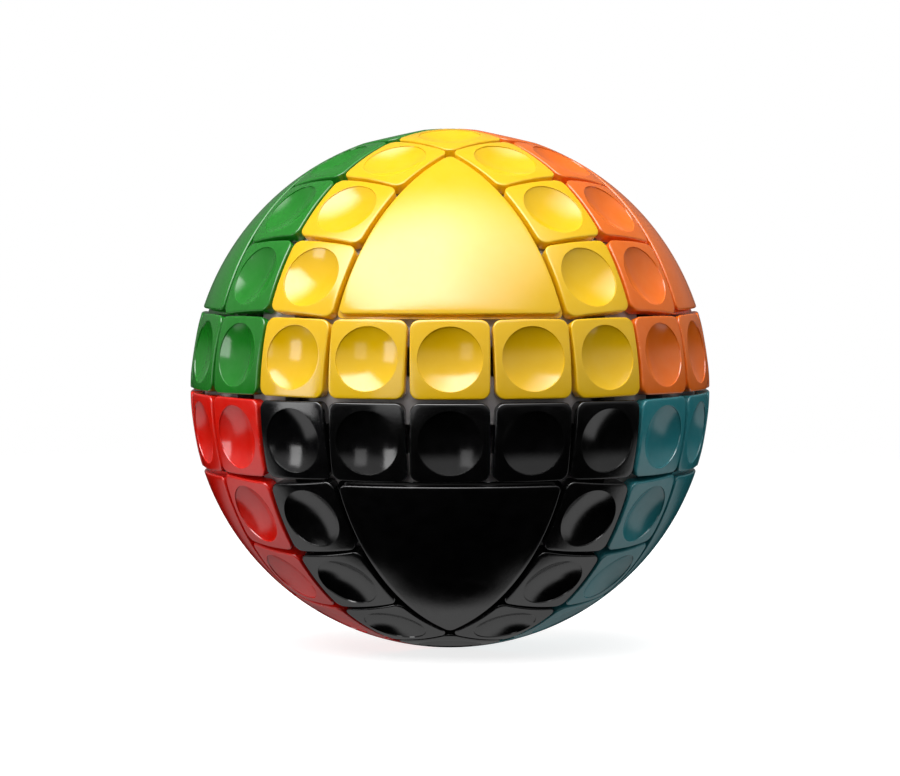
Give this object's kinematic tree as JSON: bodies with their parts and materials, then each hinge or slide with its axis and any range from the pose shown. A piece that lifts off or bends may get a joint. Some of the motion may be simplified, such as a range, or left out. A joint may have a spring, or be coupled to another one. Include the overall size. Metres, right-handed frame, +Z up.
{
  "type": "twisty puzzle ball",
  "caption": "Ball puzzle with eight colour sections: rows of dimpled square tiles turn in crossing tracks round a hollow core, around fixed triangular caps.",
  "frame": {"origin": "the ball's centre, where the three turning axes cross", "axes": "+Z up through the top corner, normal to the level great circle; +X and +Y through two other corners, normal to the two upright great circles. Each row of tiles turns about X, Y or Z."},
  "size_m": [0.1, 0.1, 0.1],
  "materials": {
    "yellow_plastic": "glossy moulded",
    "black_plastic": "glossy moulded",
    "green_plastic": "glossy moulded",
    "red_plastic": "glossy moulded",
    "orange_plastic": "glossy moulded",
    "teal_plastic": "glossy moulded",
    "blue_plastic": "glossy moulded",
    "white_plastic": "glossy moulded",
    "core_plastic": "satin moulded",
    "screw_steel": "zinc plated"
  },
  "bodies": {
    "core": {"core_upper": "core_plastic", "core_lower": "core_plastic", "core_screws": "screw_steel", "yellow_cap": "yellow_plastic", "black_cap": "black_plastic", "green_cap": "green_plastic", "red_cap": "red_plastic", "orange_cap": "orange_plastic", "teal_cap": "teal_plastic", "blue_cap": "blue_plastic", "white_cap": "white_plastic"},
    "upper_row": {"yellow_upper_row_tiles": "yellow_plastic", "green_upper_row_tiles": "green_plastic", "orange_upper_row_tiles": "orange_plastic", "blue_upper_row_tiles": "blue_plastic"},
    "lower_row": {"black_lower_row_tiles": "black_plastic", "red_lower_row_tiles": "red_plastic", "teal_lower_row_tiles": "teal_plastic", "white_lower_row_tiles": "white_plastic"},
    "east_row": {"yellow_east_row_tiles": "yellow_plastic", "black_east_row_tiles": "black_plastic", "orange_east_row_tiles": "orange_plastic", "teal_east_row_tiles": "teal_plastic"},
    "west_row": {"green_west_row_tiles": "green_plastic", "red_west_row_tiles": "red_plastic", "blue_west_row_tiles": "blue_plastic", "white_west_row_tiles": "white_plastic"},
    "north_row": {"orange_north_row_tiles": "orange_plastic", "teal_north_row_tiles": "teal_plastic", "blue_north_row_tiles": "blue_plastic", "white_north_row_tiles": "white_plastic"},
    "south_row": {"yellow_south_row_tiles": "yellow_plastic", "black_south_row_tiles": "black_plastic", "green_south_row_tiles": "green_plastic", "red_south_row_tiles": "red_plastic"},
    "upper_east_corners": {"yellow_south_corner_tile": "yellow_plastic", "orange_north_corner_tile": "orange_plastic"},
    "lower_east_corners": {"black_south_corner_tile": "black_plastic", "teal_north_corner_tile": "teal_plastic"},
    "upper_west_corners": {"green_south_corner_tile": "green_plastic", "blue_north_corner_tile": "blue_plastic"},
    "lower_west_corners": {"red_south_corner_tile": "red_plastic", "white_north_corner_tile": "white_plastic"},
    "upper_north_corners": {"orange_east_corner_tile": "orange_plastic", "blue_west_corner_tile": "blue_plastic"},
    "upper_south_corners": {"yellow_east_corner_tile": "yellow_plastic", "green_west_corner_tile": "green_plastic"},
    "lower_north_corners": {"teal_east_corner_tile": "teal_plastic", "white_west_corner_tile": "white_plastic"},
    "lower_south_corners": {"black_east_corner_tile": "black_plastic", "red_west_corner_tile": "red_plastic"},
    "north_east_corners": {"orange_top_corner_tile": "orange_plastic", "teal_bottom_corner_tile": "teal_plastic"},
    "north_west_corners": {"blue_top_corner_tile": "blue_plastic", "white_bottom_corner_tile": "white_plastic"},
    "south_east_corners": {"yellow_top_corner_tile": "yellow_plastic", "black_bottom_corner_tile": "black_plastic"},
    "south_west_corners": {"green_top_corner_tile": "green_plastic", "red_bottom_corner_tile": "red_plastic"}
  },
  "joints": [
    {"name": "upper_row_turn", "type": "hinge", "parent": "core", "child": "upper_row", "pos_m": [0, 0, 0], "axis": [0, 0, 1], "continuous": true},
    {"name": "lower_row_turn", "type": "hinge", "parent": "core", "child": "lower_row", "pos_m": [0, 0, 0], "axis": [0, 0, 1], "continuous": true},
    {"name": "east_row_turn", "type": "hinge", "parent": "core", "child": "east_row", "pos_m": [0, 0, 0], "axis": [1, 0, 0], "continuous": true},
    {"name": "west_row_turn", "type": "hinge", "parent": "core", "child": "west_row", "pos_m": [0, 0, 0], "axis": [1, 0, 0], "continuous": true},
    {"name": "north_row_turn", "type": "hinge", "parent": "core", "child": "north_row", "pos_m": [0, 0, 0], "axis": [0, 1, 0], "continuous": true},
    {"name": "south_row_turn", "type": "hinge", "parent": "core", "child": "south_row", "pos_m": [0, 0, 0], "axis": [0, 1, 0], "continuous": true},
    {"name": "upper_east_corners_turn", "type": "hinge", "parent": "east_row", "child": "upper_east_corners", "pos_m": [0, 0, 0], "axis": [0, 0, 1], "continuous": true},
    {"name": "lower_east_corners_turn", "type": "hinge", "parent": "east_row", "child": "lower_east_corners", "pos_m": [0, 0, 0], "axis": [0, 0, 1], "continuous": true},
    {"name": "upper_west_corners_turn", "type": "hinge", "parent": "west_row", "child": "upper_west_corners", "pos_m": [0, 0, 0], "axis": [0, 0, 1], "continuous": true},
    {"name": "lower_west_corners_turn", "type": "hinge", "parent": "west_row", "child": "lower_west_corners", "pos_m": [0, 0, 0], "axis": [0, 0, 1], "continuous": true},
    {"name": "upper_north_corners_turn", "type": "hinge", "parent": "upper_row", "child": "upper_north_corners", "pos_m": [0, 0, 0], "axis": [0, 1, 0], "continuous": true},
    {"name": "upper_south_corners_turn", "type": "hinge", "parent": "upper_row", "child": "upper_south_corners", "pos_m": [0, 0, 0], "axis": [0, 1, 0], "continuous": true},
    {"name": "lower_north_corners_turn", "type": "hinge", "parent": "lower_row", "child": "lower_north_corners", "pos_m": [0, 0, 0], "axis": [0, 1, 0], "continuous": true},
    {"name": "lower_south_corners_turn", "type": "hinge", "parent": "lower_row", "child": "lower_south_corners", "pos_m": [0, 0, 0], "axis": [0, 1, 0], "continuous": true},
    {"name": "north_east_corners_turn", "type": "hinge", "parent": "north_row", "child": "north_east_corners", "pos_m": [0, 0, 0], "axis": [1, 0, 0], "continuous": true},
    {"name": "north_west_corners_turn", "type": "hinge", "parent": "north_row", "child": "north_west_corners", "pos_m": [0, 0, 0], "axis": [1, 0, 0], "continuous": true},
    {"name": "south_east_corners_turn", "type": "hinge", "parent": "south_row", "child": "south_east_corners", "pos_m": [0, 0, 0], "axis": [1, 0, 0], "continuous": true},
    {"name": "south_west_corners_turn", "type": "hinge", "parent": "south_row", "child": "south_west_corners", "pos_m": [0, 0, 0], "axis": [1, 0, 0], "continuous": true}
  ],
  "couplings": [
    {"joint": "upper_east_corners_turn", "follows": "upper_row_turn", "ratio": 1},
    {"joint": "lower_east_corners_turn", "follows": "lower_row_turn", "ratio": 1},
    {"joint": "upper_west_corners_turn", "follows": "upper_row_turn", "ratio": 1},
    {"joint": "lower_west_corners_turn", "follows": "lower_row_turn", "ratio": 1},
    {"joint": "upper_north_corners_turn", "follows": "north_row_turn", "ratio": 1},
    {"joint": "upper_south_corners_turn", "follows": "south_row_turn", "ratio": 1},
    {"joint": "lower_north_corners_turn", "follows": "north_row_turn", "ratio": 1},
    {"joint": "lower_south_corners_turn", "follows": "south_row_turn", "ratio": 1},
    {"joint": "north_east_corners_turn", "follows": "east_row_turn", "ratio": 1},
    {"joint": "north_west_corners_turn", "follows": "west_row_turn", "ratio": 1},
    {"joint": "south_east_corners_turn", "follows": "east_row_turn", "ratio": 1},
    {"joint": "south_west_corners_turn", "follows": "west_row_turn", "ratio": 1}
  ]
}
